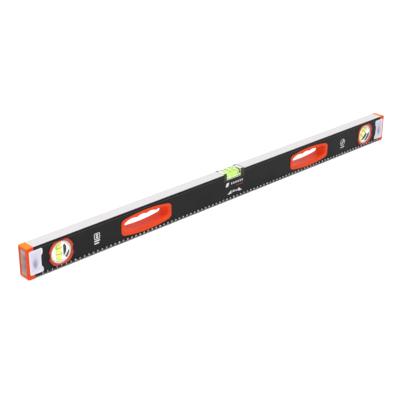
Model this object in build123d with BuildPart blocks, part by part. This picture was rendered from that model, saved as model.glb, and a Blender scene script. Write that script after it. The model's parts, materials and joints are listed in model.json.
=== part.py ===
"""Two-handle box-section spirit level, 1 m long, standing on its lower working edge.

Frame: +X along the level, +Y from the ruled front face to the back face, +Z up.
The origin is under the middle of the level, on the plane of the lower working edge.
"""

import os

from build123d import *

# ---------------------------------------------------------------- driving dimensions, mm
length = 1000.0  # overall, over both end caps
height = 62.0  # working edge to working edge
thickness = 26.0  # face to face of the box section

side_wall = 2.2
edge_wall = 3.0
beam_corner = 0.8
groove_width = 1.3
groove_depth = 0.7
top_rail = 5.0  # upper edge down to the middle of the upper groove
ruler_rail = 8.0  # lower edge up to the middle of the lower groove

fit = 0.2  # gap between pieces that are pressed or snapped together
running_gap = 0.3  # gap between pieces that move on each other
face_proud = 1.5  # how far bezels stand off the faces

cap_length = 14.0
cap_relief = 0.3  # the caps stay this far inside the milled edges
cap_corner = 3.5
spigot_length = 24.0
spigot_wall = 3.0
bumper_rim = 4.0  # rim of the cap beside the bumper
bumper_end_rim = 5.0  # and above and below it
bumper_corner = 2.0
bumper_depth = 2.0
bumper_rib = 1.2  # the bumper's ribs start this far below the cap's end face
bumper_rib_inset = 1.5
bumper_rib_count = 5

pad_from_end = 4.5
pad_reach = 32.0  # from the end of the level to the tips of the pad's two lobes
pad_neck = 28.5  # from the end of the level to the waist between the lobes
pad_low = 8.6
pad_high = 54.6
pad_corner = 3.0
lobe_round = 2.6
waist_round = 2.0
waist_z = 30.6  # middle of the waist
waist_half = 9.5  # half height of the straight part of the waist
lobe_slope = 5.0  # height of the slope from the waist to each lobe
pad_proud = 1.0
pad_round = 0.7
pad_root = 3.4  # how deep the pad's plug goes below the face
pad_root_inset = 4.0
scoop_radius = 7.5  # of the round hollow, across
scoop_half_height = 18.5
scoop_from_end = 16.5
scoop_z = 31.0
scoop_depth = 2.6

handle_from_end = 267.0
handle_z = 31.0
handle_half_length = 61.25
handle_mid = 21.5  # half height at the middle of the bezel
handle_end = 14.8  # half height at its ends
handle_corner = 9.0
bezel_lip = 2.6  # overlap of the bezel on the face of the beam
window_half_length = 54.2
window_floor_mid = 12.8
window_floor_end = 8.2
window_corner = 5.0
finger_pitch = 23.0
finger_crest = 14.9  # top of a finger hollow above the window's axis
finger_cusp = 12.7  # ridge between two hollows above the window's axis
finger_outer_drop = 1.6  # the outermost crests are this much lower
cusp_outer_drop = 0.9  # and the outer ridges this much
window_top_end = 8.0
finger_round = 4.0
mouth_round = 2.0
rim_round = 1.0

vial_from_end = 70.5
vial_z = 31.75
ring_outer = 26.5
ring_half_height = 23.3
ring_notch_floor = 23.9
ring_notch_width = 16.0  # at the rim; the notches' sides slope
ring_notch_slope = 60.0
ring_overlap = 0.6  # of the bezel's lip over the drum's edge
ring_round = 0.5
ring_bevel = 0.7
drum_radius = 22.2
drum_wall = 3.6
drum_half_depth = 12.6
skirt_wall = 0.9
skirt_depth = 8.0
lens_thickness = 1.8
lens_recess = 0.5
drum_bevel = 0.6
lens_bevel = 0.3
dial_tilt = 45.0  # lean of the turning vial from horizontal, as it stands
cord_radius = 0.9  # friction cords round the drum
cord_gap = 0.05
cord_y = 9.2
cord_groove_width = 2.0
cord_groove_depth = 1.6

tube_radius = 6.8
tube_end_gap = 2.1  # from the tube's ends to the drum's inner wall
bore_radius = 5.7
tube_floor = 1.5
plug_thickness = 2.0
liquid_gap = 0.1
bubble_radius = 3.1
bubble_length = 9.5
bubble_lift = 2.2  # the bubble's axis above the vial's axis
end_bubble_margin = 1.0  # from the bubble's rest place to the end of its run
end_bubble_stop = 0.2  # left below the bubble at the low end of its run
centre_bubble_travel = 11.0  # to either side of the middle
channel_gap = 0.3
seal_radius = 1.5
seal_recess = 0.2
line_pitch = 11.4  # between the two reading lines
line_width = 0.7
line_depth = 0.35
line_gap = 0.05
saddle_thickness = 3.0
saddle_half_width = 8.6
saddle_cover = 1.4  # past the tube, front and back
saddle_root = 0.5  # sunk into the drum's wall
tube_round = 1.0

notch_half = 29.0
notch_floor = 45.0
holder_rim = 3.6
holder_cheek = 1.0  # left standing outside each white plate
holder_window_half = 21.0
holder_sill = 1.6
holder_keel = 5.0
holder_keel_half = 26.0
plate_thickness = 1.2
block_half = 20.5
block_half_depth = 11.4
block_top_relief = 0.6
block_floor = 2.5  # closed end of its bore
block_bevel = 0.4
reflector_thickness = 0.6

# ---------------------------------------------------------------- worked-out places
beam_length = length - 2 * cap_length
half_t = thickness / 2
handle_x = length / 2 - handle_from_end
vial_x = length / 2 - vial_from_end
skirt_bore = drum_radius + running_gap
ring_opening = drum_radius - ring_overlap
tube_half_length = drum_radius - drum_wall - tube_end_gap
hole_radius = skirt_bore + skirt_wall + fit
front_face = Plane.XZ.offset(half_t)  # looks along -Y, local y is up
back_face = Plane.XZ.offset(-half_t)

os.makedirs("parts", exist_ok=True)


def write(shape, name):
    """Label one finished piece and write its STEP file."""
    shape.label = name
    export_step(shape, f"parts/{name}.step")


def barrel(half_length, mid, end, corner):
    """Outline with bowed top and bottom, straight ends and rounded corners."""
    with BuildSketch(mode=Mode.PRIVATE) as outline:
        with BuildLine():
            ThreePointArc((-half_length, end), (0, mid), (half_length, end))
            Line((half_length, end), (half_length, -end))
            ThreePointArc((half_length, -end), (0, -mid), (-half_length, -end))
            Line((-half_length, -end), (-half_length, end))
        make_face()
        fillet(outline.vertices(), corner)
    return outline.sketch


def finger_window():
    """Outline of the hand opening: bowed floor, four finger hollows along the top."""
    outer_cusp = finger_cusp - cusp_outer_drop
    cusps = [(-finger_pitch, outer_cusp), (0, finger_cusp), (finger_pitch, outer_cusp)]
    starts = [(-window_half_length, window_top_end)] + cusps
    ends = cusps + [(window_half_length, window_top_end)]
    with BuildSketch(mode=Mode.PRIVATE) as outline:
        with BuildLine():
            for start, end in zip(starts, ends):
                outermost = max(abs(start[0]), abs(end[0])) == window_half_length
                crest = finger_crest - finger_outer_drop if outermost else finger_crest
                ThreePointArc(start, ((start[0] + end[0]) / 2, crest), end)
            Line((window_half_length, window_top_end), (window_half_length, -window_floor_end))
            ThreePointArc(
                (window_half_length, -window_floor_end),
                (0, -window_floor_mid),
                (-window_half_length, -window_floor_end),
            )
            Line((-window_half_length, -window_floor_end), (-window_half_length, window_top_end))
        make_face()
        fillet(
            outline.vertices().filter_by(lambda v: abs(v.X) < window_half_length - 1),
            finger_round,
        )
        fillet(
            outline.vertices().filter_by(lambda v: abs(v.X) > window_half_length - 1),
            window_corner,
        )
    return outline.sketch


bezel_outline = barrel(handle_half_length, handle_mid, handle_end, handle_corner)
sleeve_outline = barrel(
    handle_half_length - bezel_lip,
    handle_mid - bezel_lip,
    handle_end - bezel_lip,
    handle_corner - bezel_lip,
)
beam_cut_outline = barrel(
    handle_half_length - bezel_lip + fit,
    handle_mid - bezel_lip + fit,
    handle_end - bezel_lip + fit,
    handle_corner - bezel_lip + fit,
)
window_outline = finger_window()

pad_root_low = pad_low + pad_root_inset
pad_root_high = pad_high - pad_root_inset
pad_root_start = pad_from_end + pad_root_inset
pad_root_end = pad_neck - pad_root_inset
pad_root_height = pad_root_high - pad_root_low
pad_root_width = pad_root_end - pad_root_start
pad_root_x = -length / 2 + (pad_root_start + pad_root_end) / 2
pad_root_z = (pad_root_low + pad_root_high) / 2

# ---------------------------------------------------------------- the box-section beam
with BuildPart() as beam:
    with BuildSketch(Plane.YZ) as section:
        with Locations((0, height / 2)):
            Rectangle(thickness, height)
        fillet(section.vertices(), beam_corner)
        with Locations((0, height / 2)):
            Rectangle(thickness - 2 * side_wall, height - 2 * edge_wall, mode=Mode.SUBTRACT)
        with Locations(
            (-half_t, height - top_rail),
            (half_t, height - top_rail),
            (-half_t, ruler_rail),
            (half_t, ruler_rail),
        ):
            Rectangle(2 * groove_depth, groove_width, mode=Mode.SUBTRACT)
    extrude(amount=beam_length / 2, both=True)
    # openings for the vial modules and the two hand grips, through both side walls
    with BuildSketch(Plane.XZ):
        with Locations((-vial_x, vial_z), (vial_x, vial_z)):
            Circle(hole_radius)
        with Locations((-handle_x, handle_z), (handle_x, handle_z)):
            add(beam_cut_outline)
        # the middle vial drops in from the upper edge
        with Locations((0, height)):
            Rectangle(2 * notch_half, 2 * (height - notch_floor))
        # the grip pads' plugs enter through slots that run out at the beam's ends
        for side in (-1, 1):
            slot_start = length / 2 - pad_root_end - fit
            slot_end = length / 2
            with Locations((side * (slot_start + slot_end) / 2, pad_root_z)):
                Rectangle(slot_end - slot_start, pad_root_height + 2 * fit)
    extrude(amount=half_t + 1, both=True, mode=Mode.SUBTRACT)
write(beam.part, "beam")

# ---------------------------------------------------------------- end caps
with BuildPart() as end_cap:
    with BuildSketch(Plane.YZ.offset(-length / 2)):
        with Locations((0, height / 2)):
            Rectangle(thickness, height - 2 * cap_relief)
    extrude(amount=cap_length)
    end_edges = end_cap.faces().sort_by(Axis.X)[0].edges()
    fillet(end_edges.filter_by(Axis.Y), cap_corner)
    fillet(end_cap.edges().filter_by(Axis.X), beam_corner)
    with BuildSketch(Plane.YZ.offset(-length / 2 + cap_length)) as spigot:
        with Locations((0, height / 2)):
            Rectangle(
                thickness - 2 * side_wall - 2 * fit,
                height - 2 * edge_wall - 2 * fit,
            )
            Rectangle(
                thickness - 2 * side_wall - 2 * fit - 2 * spigot_wall,
                height - 2 * edge_wall - 2 * fit - 2 * spigot_wall,
                mode=Mode.SUBTRACT,
            )
    extrude(amount=spigot_length)
    # seat of the soft bumper in the end face
    with BuildSketch(Plane.YZ.offset(-length / 2)):
        with Locations((0, height / 2)):
            RectangleRounded(
                thickness - 2 * bumper_rim,
                height - 2 * cap_relief - 2 * bumper_end_rim,
                bumper_corner,
            )
    extrude(amount=bumper_depth, mode=Mode.SUBTRACT)
    # pockets for the plugs of the two grip pads
    for pocket_plane, inward in ((front_face, -1), (back_face, 1)):
        with BuildSketch(pocket_plane):
            with Locations((pad_root_x, pad_root_z)):
                Rectangle(pad_root_width + 2 * fit, pad_root_height + 2 * fit)
        extrude(amount=inward * (pad_root + fit), mode=Mode.SUBTRACT)
write(end_cap.part, "end_cap_left")
write(mirror(end_cap.part, about=Plane.YZ), "end_cap_right")

# ---------------------------------------------------------------- end bumpers
with BuildPart() as bumper:
    bumper_width = thickness - 2 * bumper_rim - 2 * fit
    bumper_height = height - 2 * cap_relief - 2 * bumper_end_rim - 2 * fit
    with BuildSketch(Plane.YZ.offset(-length / 2 + bumper_rib)):
        with Locations((0, height / 2)):
            RectangleRounded(bumper_width, bumper_height, bumper_corner - fit)
    extrude(amount=bumper_depth - bumper_rib)
    with BuildSketch(Plane.YZ.offset(-length / 2 + bumper_rib)):
        with Locations((0, height / 2)):
            with GridLocations(0, bumper_height / bumper_rib_count, 1, bumper_rib_count):
                Rectangle(bumper_width - 2 * bumper_rib_inset, bumper_height / bumper_rib_count / 2)
    extrude(amount=-bumper_rib / 2)
write(bumper.part, "end_bumper_left")
write(mirror(bumper.part, about=Plane.YZ), "end_bumper_right")

# ---------------------------------------------------------------- grip pads
with BuildPart() as grip_pad:
    left_end = -length / 2
    waist_low = waist_z - waist_half
    waist_high = waist_z + waist_half
    with BuildSketch(front_face) as pad_outline:
        with BuildLine():
            Polyline(
                (left_end + pad_from_end, pad_low),
                (left_end + pad_reach, pad_low),
                (left_end + pad_reach, waist_low - lobe_slope),
                (left_end + pad_neck, waist_low),
                (left_end + pad_neck, waist_high),
                (left_end + pad_reach, waist_high + lobe_slope),
                (left_end + pad_reach, pad_high),
                (left_end + pad_from_end, pad_high),
                close=True,
            )
        make_face()
        fillet(pad_outline.vertices().group_by(Axis.X)[0], pad_corner)
        fillet(pad_outline.vertices().group_by(Axis.X)[-1], lobe_round)
        waist = pad_outline.vertices().filter_by(
            lambda v: abs(v.X - left_end - pad_neck) < 0.01
        )
        fillet(waist, waist_round)
    extrude(amount=pad_proud)
    fillet(grip_pad.faces().sort_by(Axis.Y)[0].edges(), pad_round)
    with BuildSketch(front_face):
        with Locations((pad_root_x, pad_root_z)):
            Rectangle(pad_root_width, pad_root_height)
    extrude(amount=-pad_root)
    # thumb scoop: a long round hollow
    scoop_y = -half_t - pad_proud - scoop_radius + scoop_depth
    with BuildSketch(Plane((left_end + scoop_from_end, scoop_y, scoop_z), (0, 0, 1), (0, 1, 0))):
        with BuildLine():
            EllipticalCenterArc((0, 0), scoop_half_height, scoop_radius, arc_size=180)
            Line((-scoop_half_height, 0), (scoop_half_height, 0))
        make_face()
    revolve(
        axis=Axis((left_end + scoop_from_end, scoop_y, scoop_z), (0, 0, 1)), mode=Mode.SUBTRACT
    )
write(grip_pad.part, "grip_pad_front_left")
write(mirror(grip_pad.part, about=Plane.XZ), "grip_pad_back_left")
write(mirror(grip_pad.part, about=Plane.YZ), "grip_pad_front_right")
write(mirror(mirror(grip_pad.part, about=Plane.YZ), about=Plane.XZ), "grip_pad_back_right")

# ---------------------------------------------------------------- hand grips
with BuildPart() as handle_half:
    with BuildSketch(front_face):
        add(bezel_outline)
    extrude(amount=face_proud)
    with BuildSketch(Plane.XZ.offset(fit / 2)):
        add(sleeve_outline)
    extrude(amount=half_t)
    with BuildSketch(Plane.XZ):
        add(window_outline)
    extrude(amount=half_t + face_proud, mode=Mode.SUBTRACT)
    grip_front = handle_half.faces().sort_by(Axis.Y)[0]
    mouth = grip_front.inner_wires()[0].edges()
    rim = grip_front.outer_wire().edges()
    fillet(mouth, mouth_round)
    fillet(rim, rim_round)
for side_name, side in (("left", -1), ("right", 1)):
    front_half = handle_half.part.moved(Location((side * handle_x, 0, handle_z)))
    write(front_half, f"handle_front_{side_name}")
    write(mirror(front_half, about=Plane.XZ), f"handle_back_{side_name}")

# ---------------------------------------------------------------- bezels of the end vials
with BuildPart() as ring_bezel:
    with BuildSketch(front_face):
        Circle(ring_outer)
        Rectangle(2 * ring_outer, 2 * ring_half_height, mode=Mode.INTERSECT)
        with PolarLocations(ring_outer, 4):
            Trapezoid(
                ring_notch_width,
                2 * (ring_outer - ring_notch_floor),
                180 - ring_notch_slope,
                rotation=-90,
                mode=Mode.SUBTRACT,
            )
        Circle(ring_opening, mode=Mode.SUBTRACT)
    extrude(amount=face_proud)
    with BuildSketch(Plane.XZ.offset(half_t - skirt_depth)):
        Circle(skirt_bore + skirt_wall)
        Circle(skirt_bore, mode=Mode.SUBTRACT)
    extrude(amount=skirt_depth)
    bezel_top = ring_bezel.faces().sort_by(Axis.Y)[0]
    fillet(bezel_top.outer_wire().edges(), ring_round)
    chamfer(bezel_top.inner_wires()[0].edges(), ring_bevel)
for side_name, side in (("left", -1), ("right", 1)):
    front_ring = ring_bezel.part.moved(Location((side * vial_x, 0, vial_z)))
    write(front_ring, f"vial_bezel_front_{side_name}")
    write(mirror(front_ring, about=Plane.XZ), f"vial_bezel_back_{side_name}")

# ---------------------------------------------------------------- end vial modules
# Built at the origin with the vial lying along X, then stood up or leaned over.
with BuildPart() as drum:
    with BuildSketch(Plane.XZ):
        Circle(drum_radius)
        Circle(drum_radius - drum_wall, mode=Mode.SUBTRACT)
    extrude(amount=drum_half_depth, both=True)
    chamfer(drum.edges().filter_by(GeomType.CIRCLE).group_by(Axis.Y)[0], drum_bevel)
    chamfer(drum.edges().filter_by(GeomType.CIRCLE).group_by(Axis.Y)[-1], drum_bevel)
    # grooves for the two friction cords
    with BuildSketch(Plane.XY):
        with Locations((drum_radius, -cord_y), (drum_radius, cord_y)):
            Rectangle(2 * cord_groove_depth, cord_groove_width)
    revolve(axis=Axis.Y, mode=Mode.SUBTRACT)
    # saddles that hold the vial's two ends
    with BuildSketch(Plane.XZ):
        with Locations((tube_half_length, 0), (-tube_half_length, 0)):
            Rectangle(2 * saddle_thickness, 2 * saddle_half_width)
        Circle(drum_radius - drum_wall + saddle_root, mode=Mode.INTERSECT)
    extrude(amount=tube_radius + saddle_cover, both=True)
    with BuildSketch(Plane.YZ):
        Circle(tube_radius + fit / 2)
    extrude(amount=tube_half_length + fit / 2, both=True, mode=Mode.SUBTRACT)

# cord that rubs on the bezel's skirt, so the drum stays where it is turned
with BuildPart() as friction_cord:
    with BuildSketch(Plane.XY):
        with Locations((skirt_bore - cord_radius - cord_gap, -cord_y)):
            Circle(cord_radius)
    revolve(axis=Axis.Y)

with BuildPart() as lens:
    with BuildSketch(Plane.XZ.offset(drum_half_depth - lens_recess - lens_thickness)):
        Circle(drum_radius - drum_wall - fit / 2)
    extrude(amount=lens_thickness)
    chamfer(lens.edges().group_by(Axis.Y)[0], lens_bevel)

with BuildPart() as tube:
    with BuildSketch(Plane.YZ.offset(-tube_half_length)):
        Circle(tube_radius)
    extrude(amount=2 * tube_half_length)
    fillet(tube.edges().group_by(Axis.X)[0], tube_round)
    with BuildSketch(Plane.YZ.offset(-tube_half_length + tube_floor)):
        Circle(bore_radius)
    extrude(amount=2 * tube_half_length, mode=Mode.SUBTRACT)

with BuildPart() as tube_plug:
    with BuildSketch(Plane.YZ.offset(tube_half_length - plug_thickness)):
        Circle(bore_radius - liquid_gap / 2)
        Circle(seal_radius + liquid_gap / 2, mode=Mode.SUBTRACT)
    extrude(amount=plug_thickness)

with BuildPart() as tube_seal:
    with BuildSketch(Plane.YZ.offset(tube_half_length - plug_thickness)):
        Circle(seal_radius)
    extrude(amount=plug_thickness - seal_recess)


def liquid_body(low_end, high_end, travel_low, travel_high):
    """Filling of one vial, with the free space along its upper side that the bubble runs in."""
    with BuildPart(mode=Mode.PRIVATE) as filling:
        with BuildSketch(Plane.YZ.offset(low_end)):
            Circle(bore_radius - liquid_gap)
        extrude(amount=high_end - low_end)
        run = bubble_length / 2 + channel_gap
        with BuildSketch(Plane.YZ.offset(travel_low - run)):
            with Locations((0, bubble_lift)):
                Circle(bubble_radius + channel_gap)
        extrude(amount=travel_high - travel_low + 2 * run, mode=Mode.SUBTRACT)
    return filling.part


tube_low = -tube_half_length + tube_floor + liquid_gap
tube_high = tube_half_length - plug_thickness - liquid_gap
bubble_room = bubble_length / 2 + channel_gap
end_bubble_rest = tube_high - bubble_room - end_bubble_margin
end_bubble_low = tube_low + bubble_room + end_bubble_stop

with BuildPart() as bubble:
    with BuildSketch(Plane.XZ) as bubble_section:
        with BuildLine():
            EllipticalCenterArc((0, 0), bubble_length / 2, bubble_radius, arc_size=180)
            Line((-bubble_length / 2, 0), (bubble_length / 2, 0))
        make_face()
    revolve(axis=Axis.X)

with BuildPart() as reading_lines:
    for line_x in (-line_pitch / 2, line_pitch / 2):
        with BuildSketch(Plane.YZ.offset(line_x - line_width / 2)):
            Circle(tube_radius + line_depth)
            Circle(tube_radius + line_gap, mode=Mode.SUBTRACT)
        extrude(amount=line_width)

end_liquid = liquid_body(tube_low, tube_high, end_bubble_low, end_bubble_rest)
end_bubble = bubble.part.moved(Location((end_bubble_rest, 0, bubble_lift)))
module = {
    "vial_drum": drum.part,
    "friction_cord_front": friction_cord.part,
    "friction_cord_back": mirror(friction_cord.part, about=Plane.XZ),
    "vial_lens_front": lens.part,
    "vial_lens_back": mirror(lens.part, about=Plane.XZ),
    "vial_tube": tube.part,
    "vial_plug": tube_plug.part,
    "vial_seal": tube_seal.part,
    "vial_liquid": end_liquid,
    "vial_bubble": end_bubble,
    "vial_lines": reading_lines.part,
}
for side_name, side, lean in (("left", -1, 90.0), ("right", 1, dial_tilt)):
    placed = Location((side * vial_x, 0, vial_z), (0, -lean, 0))
    for piece_name, piece in module.items():
        write(piece.moved(placed), f"{piece_name}_{side_name}")

# ---------------------------------------------------------------- middle vial
with BuildPart() as holder:
    with BuildSketch(Plane.XZ):
        with Locations((0, (notch_floor + fit / 2 + height - cap_relief) / 2)):
            Rectangle(2 * (notch_half - fit), height - cap_relief - notch_floor - fit / 2)
    extrude(amount=half_t - fit / 2, both=True)
    # keel between the side walls
    with BuildSketch(Plane.XY.offset(notch_floor + fit / 2)):
        Rectangle(2 * holder_keel_half, thickness - 2 * side_wall - 2 * fit)
    extrude(amount=-holder_keel)
    # well for the clear block, open at the top and through both faces
    sill_z = notch_floor + holder_sill
    with BuildSketch(Plane.XZ):
        with Locations((0, sill_z + height / 2)):
            Rectangle(2 * holder_window_half, height)
    extrude(amount=half_t, both=True, mode=Mode.SUBTRACT)
    # ledges for the two white plates
    with BuildSketch(Plane.XY.offset(height - cap_relief)):
        Rectangle(2 * (notch_half - fit - holder_cheek), thickness - 2 * holder_rim)
    extrude(amount=-plate_thickness - fit / 2, mode=Mode.SUBTRACT)
write(holder.part, "centre_holder")

block_low = sill_z + reflector_thickness + fit
block_top = height - block_top_relief
centre_vial_z = (block_low + block_top) / 2

with BuildPart() as block:
    with BuildSketch(Plane.XY.offset(block_low)):
        Rectangle(2 * block_half, 2 * block_half_depth)
    extrude(amount=block_top - block_low)
    chamfer(block.edges(), block_bevel)
    with BuildSketch(Plane.YZ.offset(-block_half + block_floor)):
        with Locations((0, centre_vial_z)):
            Circle(bore_radius)
    extrude(amount=2 * block_half, mode=Mode.SUBTRACT)
write(block.part, "centre_block")

with BuildPart() as reflector:
    with BuildSketch(Plane.XY.offset(sill_z + fit / 2)):
        Rectangle(2 * block_half, 2 * block_half_depth)
    extrude(amount=reflector_thickness)
write(reflector.part, "centre_reflector")

with BuildPart() as plate:
    plate_outer = notch_half - fit - holder_cheek - fit / 2
    plate_inner = holder_window_half + fit / 2
    with BuildSketch(Plane.XY.offset(height - cap_relief - plate_thickness)) as plate_outline:
        with Locations(((plate_outer + plate_inner) / 2, 0)):
            Rectangle(plate_outer - plate_inner, thickness - 2 * holder_rim - fit)
    extrude(amount=plate_thickness)
write(plate.part, "centre_plate_right")
write(mirror(plate.part, about=Plane.YZ), "centre_plate_left")

centre_low = -block_half + block_floor + liquid_gap
centre_high = block_half - plug_thickness - liquid_gap
centre_place = Location((0, 0, centre_vial_z))
centre_liquid = liquid_body(
    centre_low, centre_high, -centre_bubble_travel, centre_bubble_travel
)
write(centre_liquid.moved(centre_place), "centre_liquid")
write(bubble.part.moved(Location((0, 0, centre_vial_z + bubble_lift))), "centre_bubble")
plug_shift = block_half - tube_half_length
write(tube_plug.part.moved(Location((plug_shift, 0, centre_vial_z))), "centre_plug")
write(tube_seal.part.moved(Location((plug_shift, 0, centre_vial_z))), "centre_seal")

with BuildPart() as centre_lines:
    for line_x in (-line_pitch / 2, line_pitch / 2):
        with BuildSketch(Plane.XY.offset(block_top)):
            with Locations((line_x, 0)):
                Rectangle(line_width, 2 * (block_half_depth - block_bevel))
        extrude(amount=line_depth / 2)
write(centre_lines.part, "centre_lines")
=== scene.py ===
# %% [markdown]
# A spirit level is a black box-section beam with bright milled edges, orange
# caps and grips, soft pale pads, and three clear vials of yellow-green spirit.
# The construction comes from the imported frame, so this notebook only gives each
# piece its finish, and adds the printed ruler, the fillings and small details.

# %% Load the frame
import json
import math

import bmesh
import bpy
from mathutils import Matrix, Vector


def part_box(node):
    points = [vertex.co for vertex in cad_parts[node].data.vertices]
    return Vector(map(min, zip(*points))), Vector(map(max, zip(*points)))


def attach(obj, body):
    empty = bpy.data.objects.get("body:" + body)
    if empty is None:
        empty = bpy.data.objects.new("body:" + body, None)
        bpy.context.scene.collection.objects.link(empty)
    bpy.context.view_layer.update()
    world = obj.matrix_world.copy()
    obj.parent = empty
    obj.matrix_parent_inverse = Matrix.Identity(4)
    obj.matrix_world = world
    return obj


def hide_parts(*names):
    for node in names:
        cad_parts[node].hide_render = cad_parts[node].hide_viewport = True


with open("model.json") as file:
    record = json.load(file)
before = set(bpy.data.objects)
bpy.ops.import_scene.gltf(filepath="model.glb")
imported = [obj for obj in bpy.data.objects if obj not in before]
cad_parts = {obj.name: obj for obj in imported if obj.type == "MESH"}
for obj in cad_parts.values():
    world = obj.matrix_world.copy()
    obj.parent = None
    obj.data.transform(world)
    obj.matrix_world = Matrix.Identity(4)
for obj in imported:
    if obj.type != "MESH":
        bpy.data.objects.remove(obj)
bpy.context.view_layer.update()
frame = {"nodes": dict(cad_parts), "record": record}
nodes = frame["nodes"]
MM = 0.001

# %% [markdown]
# Most places follow from a few boxes of the frame: the beam gives the faces and
# the working edges, and each vial module gives its own centre.

# %% Places taken from the frame
beam_low, beam_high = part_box("beam")
front_y, back_y = beam_low.y, beam_high.y
top_z = beam_high.z
level_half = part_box("end_cap_right")[1].x


def middle(node):
    """Centre of a node's box."""
    low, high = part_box(node)
    return (low + high) / 2


drum_left = middle("vial_drum_left")
drum_right = middle("vial_drum_right")
print("drums:", drum_left, drum_right)

# %% [markdown]
# The camera stands to the left, in front of and above the level, and looks
# along it, so that the left end is near and the right end far away. It is set
# by its two angles and by where the foot of the level's middle lies in its view.

# %% Camera
LOOK_TURN = math.radians(43.37)
LOOK_DOWN = math.radians(24.92)
CAMERA_ROLL = math.radians(0.39)
AIM_RIGHT, AIM_UP, AIM_DEPTH = 0.0693, 0.0020, 1.9294
LENS = 84.55
look = Vector(
    (
        math.sin(LOOK_TURN) * math.cos(LOOK_DOWN),
        math.cos(LOOK_TURN) * math.cos(LOOK_DOWN),
        -math.sin(LOOK_DOWN),
    )
)
level_right = Vector((math.cos(LOOK_TURN), -math.sin(LOOK_TURN), 0))
level_up = level_right.cross(look)
view_right = level_right * math.cos(CAMERA_ROLL) + level_up * math.sin(CAMERA_ROLL)
view_up = level_up * math.cos(CAMERA_ROLL) - level_right * math.sin(CAMERA_ROLL)
aim = Vector((0, front_y, 0))
camera_data = bpy.data.cameras.new("camera")
camera_data.sensor_width = 36
camera_data.lens = LENS
camera_data.clip_end = 50
camera = bpy.data.objects.new("camera", camera_data)
bpy.context.scene.collection.objects.link(camera)
turn = Matrix((view_right, view_up, -look)).transposed().to_4x4()
place = aim - view_right * AIM_RIGHT - view_up * AIM_UP - look * AIM_DEPTH
camera.matrix_world = Matrix.Translation(place) @ turn
bpy.context.scene.camera = camera
print("camera at", place)

# %% [markdown]
# Studio light: an even pale world, one large soft lamp overhead and a weaker
# one from the front. Together they show each colour about as it is written.

# %% World and lamps
scene = bpy.context.scene
scene.view_settings.view_transform = "Standard"
world = bpy.data.worlds.new("studio")
scene.world = world
world.use_nodes = True
sky = world.node_tree
background = sky.nodes["Background"]
background.inputs["Color"].default_value = (1, 1, 1, 1)
WORLD_LIGHT = 0.62
SEEN_WHITE = 1.0


def path_to_white(tree):
    """One where a camera, glossy or glass ray looks, so that it sees plain white."""
    rays = tree.nodes.new("ShaderNodeLightPath")
    first = tree.nodes.new("ShaderNodeMath")
    first.operation = "MAXIMUM"
    second = tree.nodes.new("ShaderNodeMath")
    second.operation = "MAXIMUM"
    tree.links.new(rays.outputs["Is Camera Ray"], first.inputs[0])
    tree.links.new(rays.outputs["Is Glossy Ray"], first.inputs[1])
    tree.links.new(first.outputs[0], second.inputs[0])
    tree.links.new(rays.outputs["Is Transmission Ray"], second.inputs[1])
    return second.outputs[0]


sky_level = sky.nodes.new("ShaderNodeMapRange")
sky_level.inputs["To Min"].default_value = WORLD_LIGHT
sky_level.inputs["To Max"].default_value = SEEN_WHITE
sky.links.new(path_to_white(sky), sky_level.inputs["Value"])
sky.links.new(sky_level.outputs["Result"], background.inputs["Strength"])


def soft_lamp(name, position, size, power):
    """A square area lamp that faces the middle of the level."""
    lamp = bpy.data.lights.new(name, "AREA")
    lamp.size = size
    lamp.energy = power
    holder = bpy.data.objects.new(name, lamp)
    scene.collection.objects.link(holder)
    holder.location = position
    holder.rotation_mode = "QUATERNION"
    holder.rotation_quaternion = (-Vector(position)).to_track_quat("-Z", "Y")
    return holder


soft_lamp("lamp_overhead", (-0.5, -0.3, 2.2), 1.8, 26)
soft_lamp("lamp_front", (-1.6, -1.7, 1.3), 1.4, 9)

# %% [markdown]
# The floor is a large pale sheet under the lower edge. It keeps the level's
# shadow, and a little of its own white goes to the rays that look at it.

# %% Floor
FLOOR_GAP = 0.0002
FLOOR_HALF = 12
FLOOR_GLOW = 0.42
floor_mesh = bpy.data.meshes.new("floor")
floor_form = bmesh.new()
bmesh.ops.create_grid(floor_form, x_segments=1, y_segments=1, size=FLOOR_HALF)
floor_form.to_mesh(floor_mesh)
floor_form.free()
floor = bpy.data.objects.new("floor", floor_mesh)
scene.collection.objects.link(floor)
floor.location.z = beam_low.z - FLOOR_GAP
floor_finish = bpy.data.materials.new("studio_floor")
floor_finish.use_nodes = True
floor_tree = floor_finish.node_tree
floor_paint = floor_tree.nodes["Principled BSDF"]
floor_paint.inputs["Base Color"].default_value = (0.82, 0.82, 0.82, 1)
floor_paint.inputs["Roughness"].default_value = 0.9
floor_paint.inputs["Emission Color"].default_value = (1, 1, 1, 1)
floor_glow = floor_tree.nodes.new("ShaderNodeMath")
floor_glow.operation = "MULTIPLY"
floor_glow.inputs[1].default_value = FLOOR_GLOW
floor_tree.links.new(path_to_white(floor_tree), floor_glow.inputs[0])
floor_tree.links.new(floor_glow.outputs[0], floor_paint.inputs["Emission Strength"])
floor_mesh.materials.append(floor_finish)
print("floor at", floor.location.z)

# %% [markdown]
# Three effects turn up in many finishes, so each is a node group: the fine
# grain of a moulded or sprayed surface, the rubbed look of sharp edges, and
# the broad uneven sheen that handling leaves. Groups give out only values.

# %% Shared effects


def new_group(name, inputs, outputs):
    """An empty shader group with float sockets, and its two end nodes."""
    group = bpy.data.node_groups.new(name, "ShaderNodeTree")
    for label, value in inputs.items():
        socket = group.interface.new_socket(label, in_out="INPUT", socket_type="NodeSocketFloat")
        socket.default_value = value
    for label in outputs:
        group.interface.new_socket(label, in_out="OUTPUT", socket_type="NodeSocketFloat")
    start = group.nodes.new("NodeGroupInput")
    end = group.nodes.new("NodeGroupOutput")
    return group, start, end


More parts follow.
